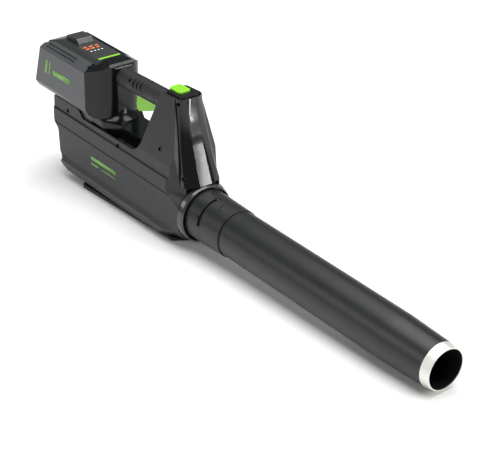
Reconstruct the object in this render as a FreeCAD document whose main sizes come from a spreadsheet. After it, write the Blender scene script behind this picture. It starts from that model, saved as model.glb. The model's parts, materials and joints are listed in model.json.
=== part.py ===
import FreeCAD, Part
import math
import os
import re
import Sketcher
from FreeCAD import Placement, Rotation, Vector

# Battery leaf blower.  Everything is drawn in the tube's own frame: X along the blow tube with
# X = 0 at the outlet face, Y = 0 on the split between the two housing halves, Z = 0 on the
# tube's axis.  settle() then pitches every piece nose-down and stands the base on Z = 0, with the
# origin on the ground under the middle of the base.

SIZES = (
    # the stance
    ("tube_pitch", 2, "degrees that the tube dips while the base rests on flat ground"),
    ("axis_height", 63.8, "height of the tube's axis over the ground at the outlet face"),
    ("base_mid", -205, "X of the middle of the base, where the origin lies"),
    # fits and walls
    ("seat_gap", 0.3, "clearance between pieces that sit beside each other"),
    ("pin_fit", 0.05, "radial clearance of a shaft in its bore"),
    ("shell_wall", 2.8, "wall of the moulded shells"),
    ("tube_wall", 2.2, "wall of the blow tube"),
    # outlet, collar, tube, nozzle
    ("outlet_radius", 55, "outside of the outlet trim ring"),
    ("outlet_length", 13, "trim ring, front to back"),
    ("collar_radius", 48.5, "rear end of the twist collar, outside"),
    ("collar_front_radius", 46.2, "front end of the twist collar, outside"),
    ("collar_start", -5, "X of the collar's rear rim"),
    ("collar_end", 92, "X of the joint between collar and tube"),
    ("tube_rear_radius", 44.4, "blow tube behind its straight run"),
    ("tube_radius", 43.6, "blow tube at the start of the taper"),
    ("taper_start", 503, "X where the nozzle's taper starts"),
    ("nozzle_end", 612, "X of the nozzle's mouth"),
    ("nozzle_bore", 35.5, "inner radius of the mouth"),
    ("ring_length", 17.5, "metal ring on the nozzle"),
    ("ring_rear_radius", 39.9, "metal ring, rear edge"),
    ("ring_front_radius", 37.4, "metal ring, front edge"),
    ("slot_at", 36.5, "X of the bayonet slot"),
    ("slot_width", 7.5, "bayonet slot, along X"),
    ("slot_sweep", 82, "degrees of collar that the slot runs through"),
    ("lug_width", 5.6, "diameter of a bayonet lug"),
    ("spigot_radius", 43.4, "outside of the spigot inside the collar"),
    ("spigot_end", 78, "X of the spigot's front rim"),
    # body shell
    ("body_half", 54, "half width of the flanks"),
    ("body_rear", -440, "X of the tail"),
    ("body_bottom", -68, "Z of the belly at its rear"),
    ("belly_front", -58.5, "Z of the belly at its front"),
    ("flank_rim", 78, "Z of the flank's rim beside the hand opening"),
    ("shoulder_top", 90, "Z of the flank's top behind the step"),
    ("pylon_top", 213, "Z of the post's top"),
    ("pylon_half", 27, "half width of the post at its top"),
    ("pylon_rear", -101, "X of the post's rear edge at its top"),
    ("crease_top", -60, "X of the fairing's edge at the top"),
    ("crease_foot", -25, "X of the fairing's edge at its foot"),
    ("fairing_foot", 57, "Z of the fairing's lower edge"),
    ("fairing_nose_top", -43, "X of the fairing's nose at its top"),
    ("fairing_nose_foot", -3, "X of the fairing's nose at its foot"),
    ("tail_cover", 42, "length of the tail cover, from the tail to its seam"),
    # cradle and deck
    ("cradle_half", 58, "half width of the battery cradle"),
    ("cradle_rear_top", -465, "X of the cradle's rear edge at its top"),
    ("cradle_rear_foot", -492, "X of the cradle's rear edge at its foot"),
    ("cradle_front", -262, "X of the cradle's front wall"),
    ("cradle_corner", -309, "X where the side wall turns in"),
    ("neck_inset", 22, "how far the front wall stands in from the side walls"),
    ("neck_radius", 36, "radius between the front wall and the sides"),
    ("cradle_foot", 94, "Z of the cradle's foot"),
    ("cradle_top", 198, "Z of the cradle's top edge"),
    ("cradle_side_top", 182, "Z where the upper chamfer starts"),
    ("chamfer_in", 22, "width of the upper chamfer"),
    ("deck_top", 93, "Z of the deck under the handle"),
    ("deck_half", 28, "half width of the deck"),
    ("cove_reach", 24, "how far the neck's cove runs out over the deck"),
    ("cove_spread", 8, "how far the neck's cove spreads to each side"),
    # battery
    ("battery_front", -296, "X of the battery's front face"),
    ("battery_rear", -466, "X of the battery's rear face at its top"),
    ("battery_lean", 22, "how far the battery's foot stands out behind its top"),
    ("battery_bevel", 9, "drop of the battery's top towards its rear edge"),
    ("battery_half", 38, "half width of the battery's top"),
    ("battery_low", 106, "Z of the battery's underside"),
    ("battery_split", 186, "Z of the seam between tray and lid"),
    ("battery_high", 200, "Z of the lid's top"),
    ("battery_wall", 2.4, "wall of the battery's case"),
    ("cell_radius", 9.2, "radius of a cell"),
    ("cell_length", 65, "length of a cell"),
    # handle, trigger, button
    ("handle_radius", 18.5, "radius of the handle over its grip"),
    ("handle_rear", -272, "X where the handle leaves the cradle"),
    ("handle_front", -102, "X where the handle enters the post"),
    ("handle_rear_height", 176, "Z of the handle's axis at its rear"),
    ("handle_front_height", 181, "Z of the handle's axis at its front"),
    ("grip_thick", 2.4, "thickness of the soft grip"),
    ("trigger_width", 15, "width of the trigger"),
    ("button_length", 34, "top button, along X"),
    ("button_width", 26, "top button, across"),
    ("button_height", 6.5, "top button, from its underside to its top"),
    ("plate_height", 4.5, "thickness of the plate round the top button"),
    ("spring_radius", 3.6, "radius of a spring's coil"),
    ("spring_lead", 2.4, "rise of one turn of a spring"),
    ("wire_radius", 0.5, "radius of a spring's wire"),
    # fan and motor
    ("duct_bore", 45, "inner radius of the fan duct"),
    ("duct_wall", 2.4, "wall of the fan duct"),
    ("duct_rear", -212, "X of the duct's inlet"),
    ("fan_at", -178, "X of the fan's middle"),
    ("fan_depth", 26, "depth of the fan"),
    ("fan_hub", 21, "radius of the fan's hub"),
    ("fan_tip_gap", 1.2, "gap from blade tip to duct"),
    ("motor_radius", 19.5, "outside of the motor's can"),
    ("motor_length", 48, "length of the motor's can"),
    ("shaft_radius", 3, "radius of the motor's shaft"),
    # screws
    ("screw_head", 3.4, "radius of a screw's head"),
    ("screw_well", 4.2, "radius of a screw's well"),
)

BLADES = 11
VANES = 7
LUGS = 2
LUG_ANGLE = 4.2
TAB_ANGLE = 64
FINS = 9
GRILLE_SLOTS = 12
TRIGGER_TURNS = 5
BUTTON_TURNS = 3
CELL_ROWS = 2
CELL_COLUMNS = 7

# X of the top button's middle
BUTTON_MIDDLE = "(crease_top - 23)"

# Z of flat ground at a given X, in the tube's frame
GROUND = "(-axis_height / cos(tube_pitch) + ({}) * tan(tube_pitch))"

doc = FreeCAD.newDocument("leaf_blower")
sheet = doc.addObject("Spreadsheet::Sheet", "sizes")
pieces = []


def fill_sheet():
    """One row for each driving dimension: value and alias in column A, what it is in column B."""
    for row, (alias, value, note) in enumerate(SIZES, 1):
        sheet.set(f"A{row}", str(value))
        sheet.setAlias(f"A{row}", alias)
        sheet.set(f"B{row}", note)
    doc.recompute()


def bound(text):
    """Each alias holds an underscore, so it can be told from a function's name."""
    return re.sub(r"\b([a-z]+(?:_[a-z]+)+)\b", r"sizes.\1", text)


def number(text):
    return float(sheet.evalExpression(bound(text)))


def link(target, prop, text):
    target.setExpression(prop, bound(text))


# ---------------------------------------------------------------- sketches

def outline(sketch, corners, tag="p"):
    """A closed profile through corners (x, y) or (x, y, radius), each bound to the sheet."""
    spots = [Vector(number(c[0]), number(c[1]), 0) for c in corners]
    count = len(spots)
    lines = []
    for i in range(count):
        lines.append(sketch.addGeometry(Part.LineSegment(spots[i], spots[(i + 1) % count]), False))
    for i in range(count):
        sketch.addConstraint(Sketcher.Constraint("Coincident", lines[i], 2, lines[(i + 1) % count], 1))
    for i in range(count):
        across = sketch.addConstraint(Sketcher.Constraint("DistanceX", -1, 1, lines[i], 1, spots[i].x))
        sketch.renameConstraint(across, f"{tag}x{i}")
        up = sketch.addConstraint(Sketcher.Constraint("DistanceY", -1, 1, lines[i], 1, spots[i].y))
        sketch.renameConstraint(up, f"{tag}y{i}")
    for i in range(count):
        if len(corners[i]) == 3:
            sketch.fillet(lines[i], 1, number(corners[i][2]), True, True)
            arc = next(k for k in range(sketch.GeometryCount - 1, -1, -1)
                       if isinstance(sketch.Geometry[k], Part.ArcOfCircle))
            radius = sketch.addConstraint(Sketcher.Constraint("Radius", arc, number(corners[i][2])))
            sketch.renameConstraint(radius, f"{tag}r{i}")
    for i in range(count):
        link(sketch, f"Constraints.{tag}x{i}", corners[i][0])
        link(sketch, f"Constraints.{tag}y{i}", corners[i][1])
        if len(corners[i]) == 3:
            link(sketch, f"Constraints.{tag}r{i}", corners[i][2])


def disc(sketch, x, y, radius, tag="c"):
    """A circle at (x, y), bound to the sheet."""
    circle = Part.Circle(Vector(number(x), number(y), 0), Vector(0, 0, 1), number(radius))
    ring = sketch.addGeometry(circle, False)
    for kind, args, value in (("DistanceX", (-1, 1, ring, 3), x), ("DistanceY", (-1, 1, ring, 3), y),
                              ("Radius", (ring,), radius)):
        index = sketch.addConstraint(Sketcher.Constraint(kind, *args, number(value)))
        name = f"{tag}{kind}{ring}"
        sketch.renameConstraint(index, name)
        link(sketch, f"Constraints.{name}", value)


def new_body(label):
    body = doc.addObject("PartDesign::Body", label)
    body.Label = label
    return body


def sketch_on(body, plane, offset="0"):
    """A sketch on one of the body's origin planes, shifted along the plane's normal."""
    sketch = body.newObject("Sketcher::SketchObject", body.Label + "_sketch")
    base = next(f for f in body.Origin.OriginFeatures if f.Role == plane + "_Plane")
    sketch.AttachmentSupport = [(base, "")]
    sketch.MapMode = "FlatFace"
    link(sketch, "AttachmentOffset.Base.z", offset)
    return sketch


def pad(body, sketch, length, kind="Pad", middle=True, back=False):
    feature = body.newObject("PartDesign::" + kind, body.Label + "_" + kind.lower())
    feature.Profile = sketch
    feature.Midplane = middle
    feature.Reversed = back
    link(feature, "Length", length)
    return feature


def turn(body, sketch, kind="Revolution"):
    """A revolution or groove about the sketch's horizontal axis, the tube's axis."""
    feature = body.newObject("PartDesign::" + kind, body.Label + "_" + kind.lower())
    feature.Profile = sketch
    feature.ReferenceAxis = (sketch, ["H_Axis"])
    feature.Angle = 360
    return feature


def around(body, feature, count):
    """count copies of a feature, evenly spaced about the tube's axis."""
    ring = body.newObject("PartDesign::PolarPattern", feature.Name + "_ring")
    ring.Originals = [feature]
    ring.Axis = (next(f for f in body.Origin.OriginFeatures if f.Role == "X_Axis"), [""])
    ring.Angle = 360
    ring.Occurrences = count
    body.Tip = ring


def turned(label, profile):
    """A body of revolution about the tube's axis from (x, radius) corners."""
    body = new_body(label)
    sketch = sketch_on(body, "XZ")
    outline(sketch, profile)
    turn(body, sketch)
    return body


def prism(label, plane, corners, length, offset="0", middle=True, back=False):
    """A padded profile; XZ profiles read (x, z), XY profiles (x, y), YZ profiles (y, z)."""
    body = new_body(label)
    sketch = sketch_on(body, plane, offset)
    outline(sketch, corners)
    pad(body, sketch, length, "Pad", middle, back)
    return body


# ---------------------------------------------------------------- free-standing solids

def block(name, low, high):
    """A box from its low and high corners, each three expressions."""
    box = doc.addObject("Part::Box", name)
    for prop, a, b in zip(("Length", "Width", "Height"), low, high):
        link(box, prop, f"({b}) - ({a})")
    for prop, a in zip("xyz", low):
        link(box, "Placement.Base." + prop, a)
    return box


def rod(name, centre, radius, length, direction):
    """A cylinder that starts at centre and runs along direction."""
    cylinder = doc.addObject("Part::Cylinder", name)
    link(cylinder, "Radius", radius)
    link(cylinder, "Height", length)
    cylinder.Placement = Placement(Vector(0, 0, 0), Rotation(Vector(0, 0, 1), Vector(*direction)))
    for prop, value in zip("xyz", centre):
        link(cylinder, "Placement.Base." + prop, value)
    return cylinder


def join(kind, name, *members):
    """A Part boolean: Cut and Common take two members, MultiFuse and MultiCommon any number."""
    result = doc.addObject("Part::" + kind, name)
    if kind in ("Cut", "Common"):
        result.Base, result.Tool = members
    elif kind == "Compound":
        result.Links = list(members)
    else:
        result.Shapes = list(members)
    return result


def keep(shape, label):
    """Names a piece that is handed in."""
    shape.Label = label
    pieces.append(shape)
    return shape


PLANES = {
    "XZ": (Rotation(Vector(1, 0, 0), 90), Vector(0, -1, 0)),
    "YZ": (Rotation(Vector(1, 1, 1), 120), Vector(1, 0, 0)),
    "XY": (Rotation(), Vector(0, 0, 1)),
}


def slab(name, plane, corners, length, inset="0", start="0"):
    """A profile drawn on a plane, drawn in by inset, then extruded both ways or from start."""
    turned_to, normal = PLANES[plane]
    sketch = doc.addObject("Sketcher::SketchObject", name + "_outline")
    sketch.Placement = Placement(Vector(0, 0, 0), turned_to)
    outline(sketch, corners)
    source = sketch
    if inset != "0":
        source = doc.addObject("Part::Offset2D", name + "_inset")
        source.Source = sketch
        source.Join = 2
        link(source, "Value", f"-({inset})")
    solid = doc.addObject("Part::Extrusion", name)
    solid.Base = source
    solid.DirMode = "Custom"
    solid.Dir = normal
    solid.Solid = True
    solid.Symmetric = start == "0"
    link(solid, "LengthFwd", length)
    if start != "0":
        for prop, part in zip("xyz", normal):
            if part:
                link(solid, "Placement.Base." + prop, f"({start}) * {part}")
    return solid


def mirrored(half):
    """A closed outline from one side's corners, listed bottom to top, and their mirror images."""
    return list(half) + [("-(" + c[0] + ")",) + tuple(c[1:]) for c in reversed(half)]


def half_space(name, side):
    """A box that holds everything on one side of the split, +1 left or -1 right."""
    low = "0" if side > 0 else "-200"
    high = "200" if side > 0 else "0"
    return block(name, ("-700", low, "-200"), ("700", high, "400"))


# ---------------------------------------------------------------- outer shells

SIDE = (
    ("body_rear", "shoulder_top", "7"),
    ("body_rear + 2", "41", "10"),
    ("body_rear + 22", "25", "12"),
    ("body_rear + 26", "-22", "10"),
    ("body_rear + 36", "-34"),
    ("body_rear + 28", "-45", "5"),
    ("body_rear + 42", "-58", "10"),
    ("body_rear + 92", "body_bottom", "12"),
    ("-26", "belly_front", "8"),
    ("-3", "-outlet_radius"),
    ("-3", "fairing_foot"),
    ("crease_foot", "fairing_foot"),
    ("crease_top", "pylon_top"),
    ("pylon_rear", "pylon_top - 3", "3"),
    ("pylon_rear - 47", "flank_rim", "38"),
    ("body_rear + 106", "flank_rim - 2", "8"),
    ("body_rear + 92", "shoulder_top", "8"),
)

SECTION = (
    ("body_half - 13", "body_bottom", "6"),
    ("body_half - 4", "body_bottom + 9", "8"),
    ("body_half + 3.5", "-38", "4"),
    ("body_half", "-27", "4"),
    ("body_half", "35", "2"),
    ("body_half - 1.2", "37", "2"),
    ("body_half - 1.6", "64", "1.5"),
    ("body_half - 4.2", "67", "1.5"),
    ("body_half - 4.8", "shoulder_top", "30"),
    ("pylon_half", "pylon_top + 4"),
)

NOSE = (
    ("body_rear - 20", "0"),
    ("body_rear - 20", "130"),
    ("-230", "130"),
    ("-110", "84", "200"),
    ("-36", "62", "60"),
    ("0", "outlet_radius + 1.2"),
    ("0", "0"),
)

TOP_PLAN = (
    ("body_rear - 20", "-70"),
    ("-100", "-70"),
    ("crease_foot", "-41", "20"),
    ("0", "-34"),
    ("0", "34"),
    ("crease_foot", "41", "20"),
    ("-100", "70"),
    ("body_rear - 20", "70"),
)

TAIL_PLAN = (
    ("body_rear - 4", "-34", "10"),
    ("body_rear + 14", "-70"),
    ("20", "-70"),
    ("20", "70"),
    ("body_rear + 14", "70"),
    ("body_rear - 4", "34", "10"),
)


def nose_solid(name, inset):
    """The trumpet that rounds the body off towards the outlet."""
    body = new_body(name)
    sketch = sketch_on(body, "XZ")
    corners = []
    for corner in NOSE:
        if corner[1] in ("0", "130"):
            corners.append(corner)
        else:
            corners.append((corner[0], f"{corner[1]} - ({inset})") + tuple(corner[2:]))
    outline(sketch, corners)
    turn(body, sketch)
    return body


def body_form(name, inset):
    """The solid form of the body, drawn in by inset all round."""
    side = slab(name + "_side", "XZ", SIDE, "160", inset)
    section = slab(name + "_section", "YZ", mirrored(SECTION), "1200", inset)
    tail = slab(name + "_tail", "XY", TAIL_PLAN, "700", inset)
    plan = slab(name + "_plan", "XY", TOP_PLAN, "260", inset, "35")
    nose = nose_solid(name + "_nose", inset)
    front = join("MultiFuse", name + "_front", nose, plan)
    return join("MultiCommon", name, side, section, tail, front)


FAIRING_LEVELS = 5


def fairing_form(name, inset):
    """The glossy nose of the post: bow-fronted sections lofted from its foot to its top."""
    body = new_body(name)
    rings = []
    spare = 0.02 if inset != "0" else 0
    for level in range(FAIRING_LEVELS):
        up = level / (FAIRING_LEVELS - 1) * (1 + 2 * spare) - spare
        rise = f"(fairing_foot + (pylon_top - fairing_foot) * {up})"
        edge = f"(crease_foot + (crease_top - crease_foot) * {up} - ({inset}))"
        bow = 1 - max(1 - up, 0) ** 1.7
        taper = 1 - max(1 - up, 0) ** 1.3
        nose = f"(fairing_nose_foot + (fairing_nose_top - fairing_nose_foot) * {bow} - ({inset}))"
        half = f"(41 + (pylon_half - 41) * {taper} - ({inset}))"
        sketch = sketch_on(body, "XY", rise)
        outline(sketch, (
            (edge, f"-{half}"),
            (f"{edge} + ({nose} - {edge}) * 0.55", f"-{half} * 0.96", "9"),
            (nose, f"-{half} * 0.42", "22"),
            (nose, f"{half} * 0.42", "22"),
            (f"{edge} + ({nose} - {edge}) * 0.55", f"{half} * 0.96", "9"),
            (edge, f"{half}"),
        ))
        rings.append(sketch)
    loft = body.newObject("PartDesign::AdditiveLoft", name + "_loft")
    loft.Profile = rings[0]
    loft.Sections = rings[1:]
    return body


# ---------------------------------------------------------------- shared tools for cutting

FLANK_SCREWS = (
    ("body_rear + 54", "73", "body_half - 4.6"),
    ("body_rear + 228", "flank_rim - 11", "body_half - 4"),
    ("pylon_rear + 19", "pylon_top - 102", "pylon_half + 19.5"),
)


def flank_rod(name, spot, radius, inner, outer="0"):
    """A rod along Y on the right-hand side, from |Y| = inner out past the flank by outer."""
    start, height, flank = spot
    return rod(name, (start, f"-({inner})", height), radius, f"({flank}) + ({outer}) - ({inner})", (0, -1, 0))


def boss_clearance(index, name):
    """Room round one of the right flank's screw bosses."""
    spot = FLANK_SCREWS[index]
    return flank_rod(name, spot, "screw_well + 2.2 + seat_gap", f"{spot[2]} - 10 - seat_gap")


def handle_height(at):
    """Height of the handle's sloping axis at X = at."""
    return (f"(handle_rear_height + (({at}) - handle_rear) / (handle_front - handle_rear)"
            f" * (handle_front_height - handle_rear_height))")


def handle_form(name, radius, rear, front):
    """A round bar along the handle's axis, lofted between two circles."""
    body = new_body(name)
    ends = []
    for at in (rear, front):
        sketch = sketch_on(body, "YZ", at)
        disc(sketch, "0", handle_height(at), radius)
        ends.append(sketch)
    loft = body.newObject("PartDesign::AdditiveLoft", name + "_loft")
    loft.Profile = ends[0]
    loft.Sections = [ends[1]]
    return body


# ---------------------------------------------------------------- flanks, tail cover, fairing

TAIL_SEAM = (
    ("body_rear - 40", "shoulder_top + 40"),
    ("body_rear + tail_cover", "shoulder_top + 40"),
    ("body_rear + tail_cover", "42"),
    ("body_rear + tail_cover + 17", "32"),
    ("body_rear + tail_cover + 20", "-27"),
    ("body_rear + tail_cover + 8", "-40"),
    ("body_rear + tail_cover + 8", "body_bottom - 40"),
    ("body_rear - 40", "body_bottom - 40"),
)

TAIL_SLOTS = 7
TAIL_SLOT_PITCH = 10


def make_shells():
    outer = body_form("outer_form", "0")
    inner = body_form("inner_form", "shell_wall")
    shell = join("Cut", "raw_shell", outer, inner)
    tail = slab("tail_region", "XZ", TAIL_SEAM, "200")
    slots = []
    for i in range(TAIL_SLOTS):
        low = f"-18 + {i * TAIL_SLOT_PITCH}"
        slots.append(block(f"tail_slot_{i}", ("body_rear - 10", "-30", low),
                           ("body_rear + 40", "30", f"{low} + 5")))
    slot_set = join("MultiFuse", "tail_slots", *slots)
    tail_shell = join("Common", "tail_shell", shell, tail)
    open_top = block("tail_open_top", ("body_rear + 8", "-46", "flank_rim - 12"),
                     ("body_rear + tail_cover + 40", "46", "shoulder_top + 20"))
    cuts = join("MultiFuse", "tail_cuts", slot_set, open_top)
    keep(join("Cut", "rear_cover", tail_shell, cuts), "rear_cover")

    sides = join("Cut", "sides_shell", shell, tail)
    hand_gap = block("hand_gap", ("body_rear + tail_cover - 20", "-46", "flank_rim - 14"),
                     ("pylon_rear - 49", "46", "shoulder_top + 20"))
    outlet_hole = rod("outlet_hole", ("-40", "0", "0"), "outlet_radius - 3.2", "60", (1, 0, 0))
    front_gap = block("front_gap", ("-outlet_length - seat_gap", "-90", "-90"), ("20", "90", "fairing_foot"))
    handle_hole = handle_form("handle_hole", "handle_radius + seat_gap", "handle_front - 70", "handle_front + 12")
    button_gap = block("button_gap", ("pylon_rear + 6", "-22.3", "pylon_top - 12"),
                       ("crease_top + 30", "22.3", "pylon_top + 20"))
    deck_gap = block("deck_gap", ("pylon_rear - 52", "-deck_half - seat_gap", "50"),
                     ("pylon_rear - 11.7", "deck_half + seat_gap", "deck_top + seat_gap"))
    cap_gap = block("cap_gap", (f"{BUTTON_MIDDLE} - button_length / 2 - 2 * seat_gap",
                                "-button_width / 2 - 2 * seat_gap", "pylon_top - 5.6"),
                    ("pylon_rear + 7", "button_width / 2 + 2 * seat_gap", "pylon_top + 20"))
    openings = join("MultiFuse", "side_openings", hand_gap, outlet_hole, front_gap, handle_hole,
                    button_gap, cap_gap, deck_gap)
    opened = join("Cut", "sides_opened", sides, openings)
    bosses = [flank_rod(f"flank_boss_{i}", spot, "screw_well + 2.2", f"{spot[2]} - 10", "-0.6")
              for i, spot in enumerate(FLANK_SCREWS)]
    right = join("Common", "right_shell", opened, half_space("right_half", -1))
    with_bosses = join("MultiFuse", "right_with_bosses", right, *bosses)
    wells = [flank_rod(f"flank_well_{i}", spot, "screw_well", f"{spot[2]} - 7.5", "10")
             for i, spot in enumerate(FLANK_SCREWS)]
    shanks = [flank_rod(f"flank_shank_{i}", spot, "screw_head / 2 + pin_fit", f"{spot[2]} - 24", "10")
              for i, spot in enumerate(FLANK_SCREWS)]
    keep(join("Cut", "panel_right", with_bosses, join("MultiFuse", "right_wells", *wells, *shanks)),
         "panel_right")
    keep(join("Common", "panel_left", opened, half_space("left_half", 1)), "panel_left")
    return shanks


FAIRING_SCREWS = (
    ("crease_top + 8", "pylon_top - 9", "pylon_half - 1"),
    ("crease_foot + 4", "fairing_foot + 16", "38"),
)


def make_fairing():
    outer = fairing_form("fairing_outer", "0")
    inner = fairing_form("fairing_inner", "shell_wall")
    dock = block("fairing_dock", ("crease_top - 4", "-22.3", "pylon_top - 3"),
                 ("crease_top + 12", "22.3", "pylon_top + 4"))
    cuts = [inner, dock]
    for i, spot in enumerate(FAIRING_SCREWS):
        cuts.append(flank_rod(f"fairing_well_{i}", spot, "screw_well - 0.6", f"{spot[2]} - 11", "14"))
    keep(join("Cut", "front_fairing", outer, join("MultiFuse", "fairing_cuts", *cuts)), "front_fairing")


# ---------------------------------------------------------------- cradle, neck and deck

CRADLE_SIDE = (
    ("cradle_rear_top", "cradle_top - battery_bevel", "3"),
    ("cradle_rear_foot", "cradle_foot + 3", "8"),
    ("cradle_rear_foot + 12", "cradle_foot - 1", "6"),
    ("cradle_front", "cradle_foot - 1"),
    ("cradle_front + 1", "cradle_top + 4", "13"),
    ("cradle_front - 30", "cradle_top + 8", "60"),
    ("battery_front - 10", "cradle_top + 8"),
    ("battery_front - 16", "cradle_top + 1"),
    ("cradle_rear_top + 34", "cradle_top + 1"),
)

CRADLE_PLAN = (
    ("cradle_rear_foot - 8", "-cradle_half"),
    ("cradle_corner", "-cradle_half", "8"),
    ("cradle_front", "neck_inset - cradle_half", "neck_radius"),
    ("cradle_front", "cradle_half - neck_inset", "neck_radius"),
    ("cradle_corner", "cradle_half", "8"),
    ("cradle_rear_foot - 8", "cradle_half"),
)

CRADLE_SECTION = (
    ("cradle_half - 7", "cradle_foot - 1", "3"),
    ("cradle_half", "cradle_foot + 11", "5"),
    ("cradle_half", "cradle_side_top", "3"),
    ("cradle_half - chamfer_in", "cradle_top", "4"),
    ("20", "cradle_top + 8", "30"),
)

BATTERY_SECTION = (
    ("battery_half + 8", "battery_low", "3"),
    ("battery_half + 11", "battery_low + 4", "3"),
    ("battery_half + 11", "battery_split - 18", "4"),
    ("battery_half", "battery_split - 2", "4"),
    ("battery_half", "battery_high - 8"),
    ("battery_half - 12", "battery_high", "3"),
)

BATTERY_SIDE = (
    ("battery_rear", "battery_high - battery_bevel"),
    ("battery_rear - battery_lean", "battery_low - 5"),
    ("battery_front", "battery_low - 5"),
    ("battery_front", "battery_high + 1"),
    ("battery_rear + 31", "battery_high + 1"),
)

NECK_SIDE = (
    ("body_rear + 10", "55"),
    ("body_rear + 10", "cradle_foot"),
    ("cradle_front - 30", "cradle_foot"),
    ("cradle_front - 29", "deck_top"),
    ("pylon_rear - 52", "deck_top"),
    ("pylon_rear - 12", "deck_top - 4"),
    ("pylon_rear - 12", "55"),
)

NECK_PLAN = (
    ("body_rear + 8", "-45"),
    ("cradle_front - 8", "-45", "20"),
    ("cradle_front + 26", "-deck_half", "30"),
    ("pylon_rear - 10", "4 - deck_half"),
    ("pylon_rear - 10", "deck_half - 4"),
    ("cradle_front + 26", "deck_half", "30"),
    ("cradle_front - 8", "45", "20"),
    ("body_rear + 8", "45"),
)

COVE_LEVELS = 5


def cove_form():
    """The hollow sweep from the neck's rounded front down to the deck, lofted level by level."""
    body = new_body("neck_cove")
    rings = []
    for level in range(COVE_LEVELS):
        angle = math.pi / 2 * level / (COVE_LEVELS - 1)
        grow = round(1 - math.sin(angle), 6)
        rise = f"deck_top - 1 + (cove_reach + 1) * {round(1 - math.cos(angle), 6)}"
        half = f"(cradle_half - neck_inset - 0.5 + cove_spread * {grow})"
        front = f"(cradle_front - 0.5 + cove_reach * {grow})"
        radius = f"neck_radius - 2 + cove_spread * {grow}"
        sketch = sketch_on(body, "XY", rise)
        outline(sketch, (
            ("cradle_front - 40", f"-{half}"),
            (front, f"-{half}", radius),
            (front, half, radius),
            ("cradle_front - 40", half),
        ))
        rings.append(sketch)
    loft = body.newObject("PartDesign::AdditiveLoft", "neck_cove_loft")
    loft.Profile = rings[0]
    loft.Sections = rings[1:]
    return body


LOUVRE_LENGTH = "(cradle_front - cradle_rear_top - 104)"


def louvre(name, inward, width, depth):
    """A long bar sunk into the right-hand upper chamfer, parallel to it."""
    slope = "atan((cradle_top - cradle_side_top) / chamfer_in)"
    bar = doc.addObject("Part::Box", name)
    link(bar, "Length", LOUVRE_LENGTH)
    link(bar, "Width", width)
    link(bar, "Height", depth)
    tilt = math.degrees(math.atan((number("cradle_top") - number("cradle_side_top")) / number("chamfer_in")))
    bar.Placement = Placement(Vector(0, 0, 0), Rotation(Vector(1, 0, 0), tilt))
    link(bar, "Placement.Base.x", "cradle_rear_top + 14")
    link(bar, "Placement.Base.y", f"-cradle_half + ({inward}) * cos({slope}) + ({depth} - 1) * sin({slope})")
    link(bar, "Placement.Base.z", f"cradle_side_top + ({inward}) * sin({slope}) - ({depth} - 1) * cos({slope})")
    return bar


def make_core(shanks):
    cradle = join("MultiCommon", "cradle_form", slab("cradle_side", "XZ", CRADLE_SIDE, "160"),
                  slab("cradle_plan", "XY", CRADLE_PLAN, "600"),
                  slab("cradle_section", "YZ", mirrored(CRADLE_SECTION), "1200"))
    neck = join("Common", "neck_form", slab("neck_side", "XZ", NECK_SIDE, "160"),
                slab("neck_plan", "XY", NECK_PLAN, "500"))
    bay = slab("battery_bay", "YZ", mirrored(BATTERY_SECTION), "400", "-seat_gap",
               "battery_front + seat_gap - 400")
    bay_mouth = block("bay_mouth", ("cradle_rear_foot - 20", "-battery_half - seat_gap", "battery_high - 10"),
                      ("battery_front + seat_gap", "battery_half + seat_gap", "battery_high + 30"))
    neck_hollow = block("neck_hollow", ("body_rear + 13", "-42", "50"),
                        ("cradle_front - 30", "42", "battery_low - 6"))
    deck_hollow = block("deck_hollow", ("cradle_front - 31", "5 - deck_half", "50"),
                        ("pylon_rear - 16", "deck_half - 5", "deck_top - 7"))
    dock_gap = block("dock_gap", ("battery_front - 2", "-30", "battery_low + 8"),
                     ("battery_front + 16", "30", "battery_low + 54"))
    handle_socket = handle_form("handle_socket", "handle_radius - grip_thick + pin_fit",
                                "handle_rear - 1", "cradle_front + 30")
    whole = join("MultiFuse", "core_whole", cradle, neck, cove_form())
    tools = [bay, bay_mouth, neck_hollow, deck_hollow, dock_gap, handle_socket]
    opened = join("Cut", "core_opened", whole, join("MultiFuse", "core_cuts", *tools))
    right = join("Common", "core_right_blank", opened, half_space("core_right_half", -1))
    louvres = [louvre("louvre_gap_low", "6.2", "3.6", "3.5"), louvre("louvre_gap_high", "13.2", "3.6", "3.5")]
    tools = [*shanks[:2], boss_clearance(0, "core_boss_gap"), *louvres]
    keep(join("Cut", "core_right", right, join("MultiFuse", "core_pilots", *tools)), "core_right")
    keep(join("Common", "core_left", opened, half_space("core_left_half", 1)), "core_left")


# ---------------------------------------------------------------- outlet, tube and nozzle

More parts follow.
